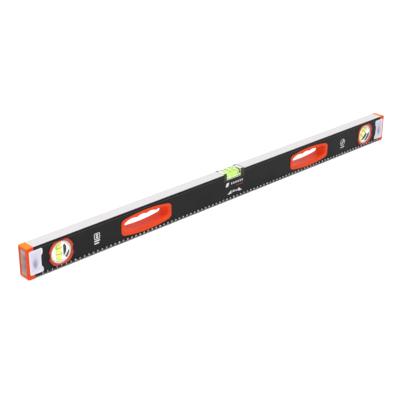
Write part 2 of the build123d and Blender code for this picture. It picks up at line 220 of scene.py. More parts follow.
def noise_at(tree, scale=10.0, detail=2.0, roughness=0.5, source=None):
    """A noise texture on Object coordinates."""
    noise = tree.nodes.new("ShaderNodeTexNoise")
    noise.inputs["Scale"].default_value = scale
    noise.inputs["Detail"].default_value = detail
    noise.inputs["Roughness"].default_value = roughness
    if source is None:
        source = tree.nodes.new("ShaderNodeTexCoord").outputs["Object"]
    tree.links.new(source, noise.inputs["Vector"])
    return noise


def span(tree, value, low, high, to_low=0.0, to_high=1.0):
    """Map a value's range from low..high to to_low..to_high, clamped."""
    ramp = tree.nodes.new("ShaderNodeMapRange")
    ramp.inputs["From Min"].default_value = low
    ramp.inputs["From Max"].default_value = high
    ramp.inputs["To Min"].default_value = to_low
    ramp.inputs["To Max"].default_value = to_high
    tree.links.new(value, ramp.inputs["Value"])
    return ramp.outputs["Result"]


def combine(tree, operation, first, second):
    """One maths node; either side is a socket or a plain number."""
    node = tree.nodes.new("ShaderNodeMath")
    node.operation = operation
    for socket, side in zip(node.inputs, (first, second)):
        if isinstance(side, (int, float)):
            socket.default_value = side
        else:
            tree.links.new(side, socket)
    return node.outputs[0]


grain_group, grain_in, grain_out = new_group("fine_grain", {"Scale": 2500.0}, ("Height", "Mottle"))
grain_fine = noise_at(grain_group, detail=3.0)
grain_broad = noise_at(grain_group, scale=55.0, detail=3.0)
grain_group.links.new(grain_in.outputs["Scale"], grain_fine.inputs["Scale"])
grain_group.links.new(grain_fine.outputs["Fac"], grain_out.inputs["Height"])
grain_group.links.new(span(grain_group, grain_broad.outputs["Fac"], 0.3, 0.7), grain_out.inputs["Mottle"])

rub_group, rub_in, rub_out = new_group("rubbed_edge", {"Width": 0.0008, "Amount": 1.0}, ("Edge",))
rub_bevel = rub_group.nodes.new("ShaderNodeBevel")
rub_bevel.samples = 6
rub_group.links.new(rub_in.outputs["Width"], rub_bevel.inputs["Radius"])
rub_geometry = rub_group.nodes.new("ShaderNodeNewGeometry")
rub_dot = rub_group.nodes.new("ShaderNodeVectorMath")
rub_dot.operation = "DOT_PRODUCT"
rub_group.links.new(rub_bevel.outputs["Normal"], rub_dot.inputs[0])
rub_group.links.new(rub_geometry.outputs["Normal"], rub_dot.inputs[1])
rub_sharp = span(rub_group, rub_dot.outputs["Value"], 0.995, 0.80)
rub_patch = span(rub_group, noise_at(rub_group, scale=240.0, detail=4.0).outputs["Fac"], 0.42, 0.62)
rub_mask = combine(rub_group, "MULTIPLY", rub_sharp, rub_patch)
rub_group.links.new(
    combine(rub_group, "MULTIPLY", rub_mask, rub_in.outputs["Amount"]), rub_out.inputs["Edge"]
)

touch_group, touch_in, touch_out = new_group("handled_sheen", {"Low": 0.3, "High": 0.5}, ("Roughness",))
touch_noise = noise_at(touch_group, scale=28.0, detail=5.0, roughness=0.6)
touch_patch = span(touch_group, touch_noise.outputs["Fac"], 0.35, 0.65)
touch_range = combine(touch_group, "SUBTRACT", touch_in.outputs["High"], touch_in.outputs["Low"])
touch_step = combine(touch_group, "MULTIPLY", touch_patch, touch_range)
touch_group.links.new(
    combine(touch_group, "ADD", touch_step, touch_in.outputs["Low"]), touch_out.inputs["Roughness"]
)
print("groups:", [g.name for g in bpy.data.node_groups])

# %% [markdown]
# Helpers that place those groups in a material, with the values of one finish.

# %% Material helpers


def new_finish(name):
    """A node material with its tree and its Principled shader."""
    finish = bpy.data.materials.new(name)
    finish.use_nodes = True
    return finish, finish.node_tree, finish.node_tree.nodes["Principled BSDF"]


def use_group(tree, group, **values):
    """Place a shared effect and set its inputs."""
    node = tree.nodes.new("ShaderNodeGroup")
    node.node_tree = group
    for label, value in values.items():
        node.inputs[label].default_value = value
    return node


def blend_colours(tree, factor, first, second):
    """Mix two colours; each is a socket or a plain RGB."""
    mix = tree.nodes.new("ShaderNodeMix")
    mix.data_type = "RGBA"
    tree.links.new(factor, mix.inputs["Factor"])
    for label, side in (("A", first), ("B", second)):
        socket = [s for s in mix.inputs if s.name == label and s.type == "RGBA"][0]
        if isinstance(side, tuple):
            socket.default_value = (*side, 1)
        else:
            tree.links.new(side, socket)
    return [s for s in mix.outputs if s.type == "RGBA"][0]


def bump(tree, height, strength, distance, shader):
    """Feed a height into the shader's normal."""
    node = tree.nodes.new("ShaderNodeBump")
    node.inputs["Strength"].default_value = strength
    node.inputs["Distance"].default_value = distance
    tree.links.new(height, node.inputs["Height"])
    tree.links.new(node.outputs["Normal"], shader.inputs["Normal"])
    return node


def moulded(name, colour, deep, rubbed, roughness, grain=2600.0, depth=0.00006, wear=0.5, gloss=0.3):
    """Moulded plastic: grain, slight mottling, paler rubbed edges, uneven sheen."""
    finish, tree, shader = new_finish(name)
    fine = use_group(tree, grain_group, Scale=grain)
    edge = use_group(tree, rub_group, Width=0.0006, Amount=wear)
    sheen = use_group(tree, touch_group, Low=roughness[0], High=roughness[1])
    body = blend_colours(tree, fine.outputs["Mottle"], deep, colour)
    tree.links.new(blend_colours(tree, edge.outputs["Edge"], body, rubbed), shader.inputs["Base Color"])
    tree.links.new(sheen.outputs["Roughness"], shader.inputs["Roughness"])
    shader.inputs["Specular IOR Level"].default_value = gloss
    bump(tree, fine.outputs["Height"], 0.35, depth, shader)
    return finish


# %% [markdown]
# The beam is powder coated, which leaves a very fine orange-peel skin. Its two
# working edges are milled after coating, so a mask by height turns the coat
# into bright metal with fine cutter lines.

# %% Beam finish
beam_finish, tree, shader = new_finish("powder_coat_and_milled_edges")
where = tree.nodes.new("ShaderNodeTexCoord").outputs["Object"]
split = tree.nodes.new("ShaderNodeSeparateXYZ")
tree.links.new(where, split.inputs[0])
facing = tree.nodes.new("ShaderNodeSeparateXYZ")
tree.links.new(tree.nodes.new("ShaderNodeNewGeometry").outputs["Normal"], facing.inputs[0])
MILLED_TOP = 0.00045
MILLED_FOOT = 0.0010
RECESS_SHADE_DEPTH = 0.0003
upper = span(tree, split.outputs["Z"], top_z - MILLED_TOP, top_z - 0.8 * MILLED_TOP)
lower = span(tree, split.outputs["Z"], MILLED_FOOT, 0.8 * MILLED_FOOT)
milled = combine(tree, "MAXIMUM", upper, lower)
coat_grain = use_group(tree, grain_group, Scale=3200.0)
coat_edge = use_group(tree, rub_group, Width=0.0005, Amount=0.35)
coat_sheen = use_group(tree, touch_group, Low=0.42, High=0.55)
coat = blend_colours(tree, coat_grain.outputs["Mottle"], (0.0085, 0.0085, 0.0095), (0.012, 0.012, 0.013))
# painted shade: surfaces sunk more than RECESS_SHADE_DEPTH behind the faces, such as the recessed web,
# turn near black
side_depth = tree.nodes.new("ShaderNodeMath")
side_depth.operation = "ABSOLUTE"
tree.links.new(split.outputs["Y"], side_depth.inputs[0])
sunk = span(tree, side_depth.outputs[0], back_y - RECESS_SHADE_DEPTH, back_y - 1.6 * RECESS_SHADE_DEPTH)
coat = blend_colours(tree, sunk, coat, (0.003, 0.003, 0.003))
# painted highlight: a pale grey band about 6 mm under the top face, where the groove's lower edge would
# catch the light
groove_highlight_low = span(tree, split.outputs["Z"], top_z - 6.4 * MM, top_z - 6.2 * MM)
groove_highlight_high = span(tree, split.outputs["Z"], top_z - 5.6 * MM, top_z - 5.7 * MM)
lip = combine(tree, "MULTIPLY", groove_highlight_low, groove_highlight_high)
coat = blend_colours(tree, lip, coat, (0.085, 0.085, 0.088))
coat = blend_colours(tree, coat_edge.outputs["Edge"], coat, (0.09, 0.09, 0.092))
cutter = tree.nodes.new("ShaderNodeMapping")
cutter.inputs["Scale"].default_value = (2600.0, 60.0, 60.0)
tree.links.new(where, cutter.inputs["Vector"])
cutter_lines = noise_at(tree, scale=1.0, detail=2.0, source=cutter.outputs["Vector"]).outputs["Fac"]
metal = blend_colours(tree, cutter_lines, (0.74, 0.715, 0.735), (0.86, 0.835, 0.85))
tree.links.new(blend_colours(tree, milled, coat, metal), shader.inputs["Base Color"])
tree.links.new(combine(tree, "MULTIPLY", milled, 0.85), shader.inputs["Metallic"])
bright_sheen = span(tree, cutter_lines, 0.3, 0.7, 0.28, 0.42)
rough_mix = tree.nodes.new("ShaderNodeMix")
tree.links.new(milled, rough_mix.inputs["Factor"])
tree.links.new(coat_sheen.outputs["Roughness"], rough_mix.inputs["A"])
tree.links.new(bright_sheen, rough_mix.inputs["B"])
tree.links.new(rough_mix.outputs["Result"], shader.inputs["Roughness"])
shader.inputs["Specular IOR Level"].default_value = 0.15
bump(tree, coat_grain.outputs["Height"], 0.3, 0.00005, shader)
print("milled above", top_z - MILLED_TOP)

# %% [markdown]
# The orange parts are moulded in one colour, and the pads and bumpers in soft
# rubber with a duller skin. The bumpers' grey-brown is pale rubber darkened by
# painted shade. The tops of the caps carry painted light: they fade to amber
# where they face up. The pads carry painted shade, darker in the hollow, and are
# paler along their lip, which a value stored on their points tells the finish.

# %% Plastic and rubber finishes


def base_colour_link(finish):
    """The socket that feeds a finish's base colour, and the shader."""
    shader = finish.node_tree.nodes["Principled BSDF"]
    return shader, shader.inputs["Base Color"].links[0].from_socket


def bleach_upward(finish, colour):
    """Painted light: fade a finish towards a paler colour where the surface looks up."""
    tree = finish.node_tree
    shader, before = base_colour_link(finish)
    facing = tree.nodes.new("ShaderNodeSeparateXYZ")
    tree.links.new(tree.nodes.new("ShaderNodeNewGeometry").outputs["Normal"], facing.inputs[0])
    upward = span(tree, facing.outputs["Z"], 0.25, 0.9)
    tree.links.new(blend_colours(tree, upward, before, colour), shader.inputs["Base Color"])


def tint_by_attribute(finish, attribute, colour):
    """Fade a finish towards a colour by a value stored on the mesh's points."""
    tree = finish.node_tree
    shader, before = base_colour_link(finish)
    stored = tree.nodes.new("ShaderNodeAttribute")
    stored.attribute_name = attribute
    tree.links.new(blend_colours(tree, stored.outputs["Fac"], before, colour), shader.inputs["Base Color"])


cap_orange = moulded(
    "orange_cap", (0.90, 0.085, 0.008), (0.78, 0.064, 0.006), (1.0, 0.30, 0.10), (0.38, 0.50), gloss=0.2
)
# painted light: the cap tops fade to amber where they face up, as if lit from above
bleach_upward(cap_orange, (0.95, 0.27, 0.012))
grip_orange = moulded(
    "orange_grip", (0.95, 0.082, 0.012), (0.86, 0.062, 0.009), (1.0, 0.26, 0.09), (0.30, 0.42), gloss=0.16
)
bezel_orange = moulded(
    "orange_bezel", (0.72, 0.062, 0.018), (0.62, 0.048, 0.014), (0.95, 0.26, 0.12), (0.36, 0.48)
)
pad_rubber = moulded(
    "pale_rubber", (0.80, 0.77, 0.93), (0.73, 0.70, 0.88), (0.92, 0.91, 0.98), (0.52, 0.66), 1800.0, 0.0001
)
tint_by_attribute(pad_rubber, "lip", (0.93, 0.91, 0.97))
# painted shade: the pad's scoop is darkened by the stored hollow value
tint_by_attribute(pad_rubber, "hollow", (0.27, 0.25, 0.37))
# painted shade: the bumper rubber is pale, and this grey-brown darkens it as the end faces look away from
# the lamps
bumper_rubber = moulded(
    "pale_rubber_with_painted_shade",
    (0.66, 0.45, 0.42),
    (0.30, 0.18, 0.17),
    (0.74, 0.60, 0.57),
    (0.55, 0.7),
    1500.0,
    0.0001,
)
white_plastic = moulded(
    "white_plastic", (0.88, 0.88, 0.88), (0.82, 0.82, 0.83), (0.95, 0.95, 0.95), (0.22, 0.34)
)
black_plastic = moulded(
    "black_plastic", (0.030, 0.030, 0.033), (0.022, 0.022, 0.025), (0.09, 0.09, 0.095), (0.40, 0.52)
)
black_rubber = moulded(
    "black_rubber", (0.020, 0.020, 0.020), (0.014, 0.014, 0.014), (0.05, 0.05, 0.05), (0.6, 0.75)
)
white_ink = moulded(
    "white_ink", (0.94, 0.94, 0.94), (0.82, 0.82, 0.82), (0.9, 0.9, 0.9), (0.45, 0.6), wear=0.0
)
black_ink = moulded(
    "black_ink", (0.02, 0.02, 0.02), (0.03, 0.03, 0.03), (0.02, 0.02, 0.02), (0.45, 0.6), wear=0.0
)
print("plastics:", cap_orange.name, grip_orange.name, bezel_orange.name)

# %% [markdown]
# Clear acrylic bends light, which would keep the lamps out of the vials. So
# rays that come from a lamp pass straight through, while the eye still sees
# the glassy edges. Faint ripples and smudges keep the surface from looking flat.

# %% Clear finishes


def clear(name, colour, roughness, index):
    """Clear plastic that lets lamplight through."""
    finish, tree, shader = new_finish(name)
    shader.inputs["Base Color"].default_value = (*colour, 1)
    shader.inputs["Transmission Weight"].default_value = 1.0
    shader.inputs["IOR"].default_value = index
    sheen = use_group(tree, touch_group, Low=roughness[0], High=roughness[1])
    tree.links.new(sheen.outputs["Roughness"], shader.inputs["Roughness"])
    ripple = use_group(tree, grain_group, Scale=90.0)
    bump(tree, ripple.outputs["Height"], 0.10, 0.0002, shader)
    rays = tree.nodes.new("ShaderNodeLightPath")
    through = tree.nodes.new("ShaderNodeBsdfTransparent")
    through.inputs["Color"].default_value = (*colour, 1)
    mix = tree.nodes.new("ShaderNodeMixShader")
    tree.links.new(rays.outputs["Is Shadow Ray"], mix.inputs[0])
    tree.links.new(shader.outputs[0], mix.inputs[1])
    tree.links.new(through.outputs[0], mix.inputs[2])
    tree.links.new(mix.outputs[0], tree.nodes["Material Output"].inputs["Surface"])
    return finish


lens_clear = clear("clear_lens", (0.97, 0.99, 0.98), (0.01, 0.05), 1.30)
vial_clear = clear("clear_vial", (0.97, 0.99, 0.96), (0.01, 0.03), 1.45)
block_clear = clear("clear_block", (0.92, 0.98, 0.80), (0.02, 0.06), 1.40)
bubble_clear = clear("air_bubble", (0.97, 1.0, 0.86), (0.0, 0.02), 1.25)


def tinted_fluid(name, light, deep, painted_glow):
    """Spirit with fluorescent dye: half clear, half lit by a painted glow, with faint mottling."""
    finish, tree, shader = new_finish(name)
    mottle = use_group(tree, grain_group, Scale=300.0)
    colour = blend_colours(tree, mottle.outputs["Mottle"], deep, light)
    tree.links.new(colour, shader.inputs["Base Color"])
    tree.links.new(colour, shader.inputs["Emission Color"])
    shader.inputs["Emission Strength"].default_value = painted_glow
    shader.inputs["Transmission Weight"].default_value = 0.5
    shader.inputs["IOR"].default_value = 1.1
    shader.inputs["Roughness"].default_value = 0.1
    return finish


# painted glow: both spirits shine by their own emission as well as by the lamps
spirit = tinted_fluid("yellow_green_spirit", (0.90, 0.93, 0.28), (0.82, 0.88, 0.18), 0.22)
green_spirit = tinted_fluid("green_spirit", (0.70, 0.90, 0.28), (0.60, 0.84, 0.20), 0.16)
print("clear finishes:", lens_clear.name, vial_clear.name, spirit.name)

# %% [markdown]
# Each node of the frame gets the finish of its own material.

# %% Finish every node
finish_of = {
    "beam_aluminium": beam_finish,
    "cap_plastic": cap_orange,
    "bumper_rubber": bumper_rubber,
    "pad_rubber": pad_rubber,
    "grip_plastic": grip_orange,
    "bezel_plastic": bezel_orange,
    "drum_plastic": white_plastic,
    "cord_rubber": black_rubber,
    "lens_clear": lens_clear,
    "vial_clear": vial_clear,
    "block_clear": block_clear,
    "plug_clear": vial_clear,
    "seal_dark": black_rubber,
    "vial_liquid": spirit,
    "bubble_air": bubble_clear,
    "reading_lines": black_ink,
    "holder_plastic": black_plastic,
    "plate_white": white_plastic,
}
for part in frame["record"]["subparts"]:
    shape = nodes[part["node"]].data
    shape.materials.clear()
    shape.materials.append(finish_of[part["material_slot"]])

# %% [markdown]
# New pieces share one routine: the bmesh becomes an object at the origin, its
# normals point outwards, and it rides on the body that carries it.

# %% Piece helper


def piece(name, form, finish, body="level", smooth=False):
    """Turn a finished bmesh into a named piece that rides on a body."""
    bmesh.ops.recalc_face_normals(form, faces=form.faces)
    if form.calc_volume(signed=True) < 0:
        bmesh.ops.reverse_faces(form, faces=form.faces)
    mesh = bpy.data.meshes.new(name)
    form.to_mesh(mesh)
    form.free()
    if smooth:
        mesh.shade_smooth()
    mesh.materials.append(finish)
    made = bpy.data.objects.new(name, mesh)
    scene.collection.objects.link(made)
    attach(made, body)
    return made


def add_box(form, low, high):
    """Add a closed box between two corners to a bmesh."""
    size = Vector(high) - Vector(low)
    centre = (Vector(high) + Vector(low)) / 2
    bmesh.ops.create_cube(form, size=1, matrix=Matrix.Translation(centre) @ Matrix.Diagonal((*size, 1)))


# %% [markdown]
# The ruler is printed along the foot of both faces: a short line each
# millimetre, longer ones at five and ten, and a plain number at each
# centimetre, counted from the end that lies to the reader's left.

# %% Ruler
INK = 0.00006
TICK_WIDTH = 0.00027
TICK_FOOT = 0.0011
TICK_TOPS = {1: 0.0031, 5: 0.0038, 10: 0.0043}
FIGURE_HEIGHT = 0.0026
FIGURE_BOLD = 0.00012
FIGURE_FOOT = 0.0046
first_mark = round((level_half + beam_low.x) / MM) + 1
last_mark = round((level_half + beam_high.x) / MM) - 1


def facing_matrix(face):
    """Turns a drawing made for the front face (X right, Z up, at Y 0) onto a face."""
    if face == "front":
        return Matrix.Translation((0, front_y, 0))
    return Matrix.Translation((0, back_y, 0)) @ Matrix.Rotation(math.pi, 4, "Z")


def text_mesh(words, height, bold=0.0):
    """A flat text as a thin mesh, standing in XZ and centred on its own middle."""
    letters = bpy.data.curves.new("letters", "FONT")
    letters.body = words
    letters.size = height / 0.7
    letters.align_x = "CENTER"
    letters.extrude = INK / 2
    letters.offset = bold
    letters.resolution_u = 3
    holder = bpy.data.objects.new("letters", letters)
    scene.collection.objects.link(holder)
    bpy.context.view_layer.update()
    mesh = bpy.data.meshes.new_from_object(holder.evaluated_get(bpy.context.evaluated_depsgraph_get()))
    bpy.data.objects.remove(holder)
    bpy.data.curves.remove(letters)
    mesh.transform(Matrix.Rotation(math.pi / 2, 4, "X"))
    return mesh


def ruler(face):
    """All the marks and numbers of one face in one bmesh."""
    form = bmesh.new()
    for mark in range(first_mark, last_mark + 1):
        step = 10 if mark % 10 == 0 else 5 if mark % 5 == 0 else 1
        x = mark * MM - level_half
        width = TICK_WIDTH * (1.5 if step == 10 else 1.0)
        add_box(form, (x - width / 2, -INK, TICK_FOOT), (x + width / 2, INK / 3, TICK_TOPS[step]))
    for number in range(math.ceil(first_mark / 10) + 1, last_mark // 10 + 1):
        figure = text_mesh(str(number), FIGURE_HEIGHT, FIGURE_BOLD * (2 if number % 10 == 0 else 1))
        figure.transform(Matrix.Translation((number * 10 * MM - level_half, -INK / 2, FIGURE_FOOT)))
        form.from_mesh(figure)
        bpy.data.meshes.remove(figure)
    form.transform(facing_matrix(face))
    return form


for face in ("front", "back"):
    marks = piece(f"ruler_{face}", ruler(face), white_ink)
    print(marks.name, len(marks.data.polygons), "faces")

# %% [markdown]
# The grip pads are soft rubber mouldings, pressed into the cap. Each one has a
# rounded edge, a raised lip, a waist on the side of the vial and a long scoop
# for the thumb, deepest near its foot. A plug behind the scoop sits in the cap's
# pocket. Rings of points run from the plug round the outline to the middle of
# the scoop, so every slope comes out smooth.

# %% Grip pads
LOBE_SETBACK = 3.5 * MM
WAIST_MIDDLE = 22.0 * MM
WAIST_HALF = 9.5 * MM
LOBE_SLOPE = 5.0 * MM
SCOOP_OVER = 12.0 * MM
SCOOP_UP = 22.4 * MM
SCOOP_WIDE = 5.7 * MM
SCOOP_TALL = 13.6 * MM
SCOOP_DEEP = 2.5 * MM
# inset from the outline, height as a share of how far the pad stands proud
PAD_EDGE = ((0, -0.05), (0, 0.1), (0.10, 0.55), (0.32, 0.86), (0.7, 1.0), (1.7, 1.0), (2.15, 0.70))
PLUG_SPREAD = 1.2
PLUG_SHARE = 0.96


def rounded_outline(corners):
    """Closed outline from corners (x, z, radius), with arcs and short straight steps."""
    points = []
    for index, (x, z, radius) in enumerate(corners):
        here = Vector((x, z))
        back = (Vector(corners[index - 1][:2]) - here).normalized()
        ahead = (Vector(corners[(index + 1) % len(corners)][:2]) - here).normalized()
        half = back.angle(ahead) / 2
        start = here + back * radius / math.tan(half)
        end = here + ahead * radius / math.tan(half)
        hub = here + (back + ahead).normalized() * radius / math.sin(half)
        if points:
            straight = start - points[-1]
            steps = max(1, round(straight.length / MM))
            points += [points[-1] + straight * step / steps for step in range(1, steps)]
        points += [hub + (start.lerp(end, step / 6) - hub).normalized() * radius for step in range(7)]
    straight = points[0] - points[-1]
    steps = max(1, round(straight.length / MM))
    points += [points[-1] + straight * step / steps for step in range(1, steps)]
    return points


def stitch(form, rings, closed_end=True):
    """Skin neighbouring rings of vertices with quads, and fan the last one shut."""
    for outer, inner in zip(rings, rings[1:]):
        for index in range(len(outer)):
            after = (index + 1) % len(outer)
            form.faces.new((outer[index], outer[after], inner[after], inner[index]))
    if closed_end:
        form.faces.new(rings[-1])


def grip_pad(node):
    """Sculpted pad, drawn for the front left corner and mirrored to its own."""
    low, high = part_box(node)
    wide, tall = high.x - low.x, high.z - low.z
    proud = front_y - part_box("grip_pad_front_left")[0].y
    waist_x = wide - LOBE_SETBACK
    corners = (
        (0, 0, 3.0 * MM),
        (wide, 0, 2.6 * MM),
        (wide, WAIST_MIDDLE - WAIST_HALF - LOBE_SLOPE, 2.4 * MM),
        (waist_x, WAIST_MIDDLE - WAIST_HALF, 2.4 * MM),
        (waist_x, WAIST_MIDDLE + WAIST_HALF, 2.4 * MM),
        (wide, WAIST_MIDDLE + WAIST_HALF + LOBE_SLOPE, 2.4 * MM),
        (wide, tall, 2.6 * MM),
        (0, tall, 3.0 * MM),
    )
    outline = rounded_outline(corners)
    hub = Vector((SCOOP_OVER, SCOOP_UP))
    count = len(outline)
    inward = []
    for index in range(count):
        along = outline[(index + 1) % count] - outline[index - 1]
        inward.append(Vector((-along.y, along.x)).normalized())
    rays = [(point - hub).normalized() for point in outline]
    mouth = [
        hub + ray / math.hypot(ray.x / SCOOP_WIDE, ray.y / SCOOP_TALL) for ray in rays
    ]
    form = bmesh.new()
    form.verts.layers.float.new("hollow")
    form.verts.layers.float.new("lip")
    hollow_shade_layer = form.verts.layers.float["hollow"]
    lip_layer = form.verts.layers.float["lip"]
    rings = []

    def ring(points, heights, lip=0.0, shades=None):
        made = [form.verts.new((p.x, -h, p.y)) for p, h in zip(points, heights)]
        for vert, shade in zip(made, shades or [0.0] * count):
            vert[lip_layer] = lip
            vert[hollow_shade_layer] = shade
        rings.append(made)

    thick = high.y - low.y
    plug = [hub + (m - hub) * PLUG_SPREAD for m in mouth]
    ring(plug, [(proud - thick) * PLUG_SHARE] * count)
    ring(plug, [PAD_EDGE[0][1] * proud] * count)
    for inset, share in PAD_EDGE:
        ring([p + n * inset * MM for p, n in zip(outline, inward)], [share * proud] * count, share)
    field = PAD_EDGE[-1][1] * proud
    inner = [p + n * PAD_EDGE[-1][0] * MM for p, n in zip(outline, inward)]
    ring([a.lerp(b, 0.6) for a, b in zip(inner, mouth)], [field * 0.96] * count)
    for share in (1.04, 0.98, 0.9, 0.78, 0.62, 0.45, 0.28, 0.12):
        points = [hub + (m - hub) * share for m in mouth]
        hollow = max(0.0, 1 - share * share) ** 0.75
        rises = [(point.y - hub.y) / SCOOP_TALL for point in points]
        heights = [field * 0.92 - SCOOP_DEEP * hollow * (0.72 - 0.28 * rise) for rise in rises]
        # painted shade: the shade value is largest in the middle of the scoop and towards its lower end
        ring(points, heights, 0.0, [min(1.0, hollow * max(0.0, 0.62 - 0.75 * rise)) for rise in rises])
    stitch(form, rings)
    form.faces.new(list(reversed(rings[0])))
    side_x = -1 if "right" in node else 1
    side_y = -1 if "back" in node else 1
    start_x = high.x if "right" in node else low.x
    face_y = back_y if "back" in node else front_y
    for vert in form.verts:
        vert.co = (start_x + side_x * vert.co.x, face_y + side_y * vert.co.y, low.z + vert.co.z)
    made = piece(node.replace("grip_pad", "thumb_pad"), form, pad_rubber, smooth=True)
    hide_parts(node)
    return made


for end in ("left", "right"):
    for face in ("front", "back"):
        print(grip_pad(f"grip_pad_{face}_{end}").name)

# %% [markdown]
# Each end vial is one clear acrylic block: the tube's bore is closed by solid
# plastic out to both windows. That is why it looks near the face even from
# the side. A turned disc with soft edges stands for it, and in it lie a smooth
# filling and a smooth bubble in place of the plain solids. A dark bar is set in
# beside the tube as painted shade, where the block shows a dark patch of shade.
# Its purpose is a guess: an edge to judge the bubble against.

# %% End vials
TURN_STEPS = 96
FILL_END = 1.4 * MM
BAR_RADIUS = 16.2 * MM
BAR_INNER = 10.4 * MM
BAR_TOP = 7.5 * MM
BAR_START = -50
BAR_END = 32
BAR_STEPS = 20
BAR_DEPTH = 2.0 * MM
BAR_SOFT = 0.35 * MM


def lathe(profile, axis="Y", steps=TURN_STEPS):
    """Spin a closed profile of (radius, height) points about Y or X into a bmesh."""
    form = bmesh.new()
    closed = profile[0] == profile[-1]
    spots = profile[:-1] if closed else profile
    verts = [form.verts.new((r, h, 0) if axis == "Y" else (h, r, 0)) for r, h in spots]
    edges = [form.edges.new(pair) for pair in zip(verts, verts[1:])]
    if closed:
        edges.append(form.edges.new((verts[-1], verts[0])))
    bmesh.ops.spin(
        form,
        geom=verts + edges,
        axis=(0, 1, 0) if axis == "Y" else (1, 0, 0),
        cent=(0, 0, 0),
        angle=math.tau,
        steps=steps,
        use_merge=True,
    )
    bmesh.ops.remove_doubles(form, verts=form.verts, dist=1e-6)
    return form


def lean_of(side):
    """How a module leans: the left tube stands upright, the right one at 45 degrees."""
    return Matrix.Rotation(-math.pi / (2 if side == "left" else 4), 4, "Y")


def arc(centre, radius, start, end, steps):
    """Points of an arc, angles in degrees."""
    angles = [math.radians(start + (end - start) * step / steps) for step in range(steps + 1)]
    return [(centre[0] + radius[0] * math.cos(a), centre[1] + radius[1] * math.sin(a)) for a in angles]


def filling(half, radius, soft):
    """Cylinder along X with rounded ends."""
    end = arc((radius - soft, half - soft), (soft, soft), 0, 90, 5) + [(radius - 1.5 * soft, half)]
    start = [(r, -h) for r, h in reversed(end)]
    return lathe([(0, -half)] + start + end + [(0, half)], "X", 64)


def air(half, radius):
    """Smooth ellipsoid along X."""
    return lathe([(max(0.0, r), h) for r, h in arc((0, 0), (radius, half), -90, 90, 20)], "X", 48)


def drum_profile(inner, depth, outer):
    """Closed section of the turning drum: bevelled rims and two cord grooves."""
    bevel, groove, sunk = 0.6 * MM, 1.0 * MM, 1.6 * MM
    half = [
        (inner, depth - bevel),
        (inner + bevel, depth),
        (outer - bevel, depth),
        (outer, depth - bevel),
        (outer, CORD_Y + groove),
        (outer - sunk, CORD_Y + groove),
        (outer - sunk, CORD_Y - groove),
        (outer, CORD_Y - groove),
    ]
    section = half + [(r, -h) for r, h in reversed(half)]
    return section + section[:1]


def side_bar():
    """Dark bar of painted shade beside the tube: a slice between a straight edge and the drum's round
    wall.
    """
    form = bmesh.new()
    edge = [(BAR_TOP, -BAR_INNER)]
    for step in range(BAR_STEPS + 1):
        turn = math.radians(BAR_END + (BAR_START - BAR_END) * step / BAR_STEPS)
        edge.append((BAR_RADIUS * math.sin(turn), -BAR_RADIUS * math.cos(turn)))
    near = [form.verts.new((x, -BAR_DEPTH, z)) for x, z in edge]
    face = form.faces.new(near)
    grown = bmesh.ops.extrude_face_region(form, geom=[face])
    moved = [item for item in grown["geom"] if isinstance(item, bmesh.types.BMVert)]
    bmesh.ops.translate(form, verts=moved, vec=(0, 2 * BAR_DEPTH, 0))
    rims = [edge for edge in form.edges if abs(edge.verts[0].co.y - edge.verts[1].co.y) < BAR_DEPTH]
    bmesh.ops.bevel(
        form, geom=rims, offset=BAR_SOFT, segments=3, profile=0.5, affect="EDGES", material=-1
    )
    return form


def end_vial(side, body):
    """Acrylic disc, filling and bubble of one end vial."""
    hub = middle(f"vial_drum_{side}")
    place = Matrix.Translation(hub) @ lean_of(side)
    lens_low, lens_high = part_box(f"vial_lens_front_{side}")
    radius = (lens_high.z - lens_low.z) / 2
    depth = -lens_low.y
    soft = 0.5 * MM
    rim = arc((radius - soft, depth - soft), (soft, soft), 0, 90, 4) + [(radius - 2 * soft, depth)]
    profile = [(0, -depth)] + [(r, -h) for r, h in reversed(rim)] + rim + [(0, depth)]
    form = lathe(profile)
    form.transform(place)
    block = piece(f"vial_block_{side}", form, vial_clear, body, True)
    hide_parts(f"vial_lens_front_{side}", f"vial_lens_back_{side}", f"vial_tube_{side}")
    form = filling(radius - FILL_END, FILL_RADIUS, 1.2 * MM)
    form.transform(place)
    fluid = piece(f"vial_filling_{side}", form, spirit, body, True)
    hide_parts(f"vial_liquid_{side}")
    outer = (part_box(f"vial_drum_{side}")[1].y, DRUM_RADIUS)
    form = lathe(drum_profile(radius + 0.15 * MM, *outer))
    form.transform(place)
    ring = piece(f"vial_ring_{side}", form, white_plastic, body, True)
    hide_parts(f"vial_drum_{side}")
    # painted shade: a black bar put where the tube's side shows only shade
    form = side_bar()
    form.transform(place)
    piece(f"vial_shade_bar_{side}", form, black_plastic, body, True)
    bubble = middle(f"vial_bubble_{side}")
    form = air(BUBBLE_HALF, BUBBLE_RADIUS)
    form.transform(Matrix.Translation(bubble) @ lean_of(side))
    gas = piece(f"vial_air_{side}", form, bubble_clear, f"bubble_{side}", True)
    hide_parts(f"vial_bubble_{side}")


CORD_Y = middle("friction_cord_back_left").y
DRUM_RADIUS = (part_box("vial_drum_left")[1].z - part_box("vial_drum_left")[0].z) / 2
FILL_RADIUS = (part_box("vial_liquid_left")[1].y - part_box("vial_liquid_left")[0].y) / 2
bubble_low, bubble_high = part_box("vial_bubble_left")
BUBBLE_HALF = (bubble_high.z - bubble_low.z) / 2
BUBBLE_RADIUS = (bubble_high.y - bubble_low.y) / 2
end_vial("left", "level")
end_vial("right", "dial")
print("filling radius", FILL_RADIUS)

# %% [markdown]
# The middle vial is a block as well, cut from tinted acrylic. A plain white
# plate shows through from below, and makes the bubble easy to see.

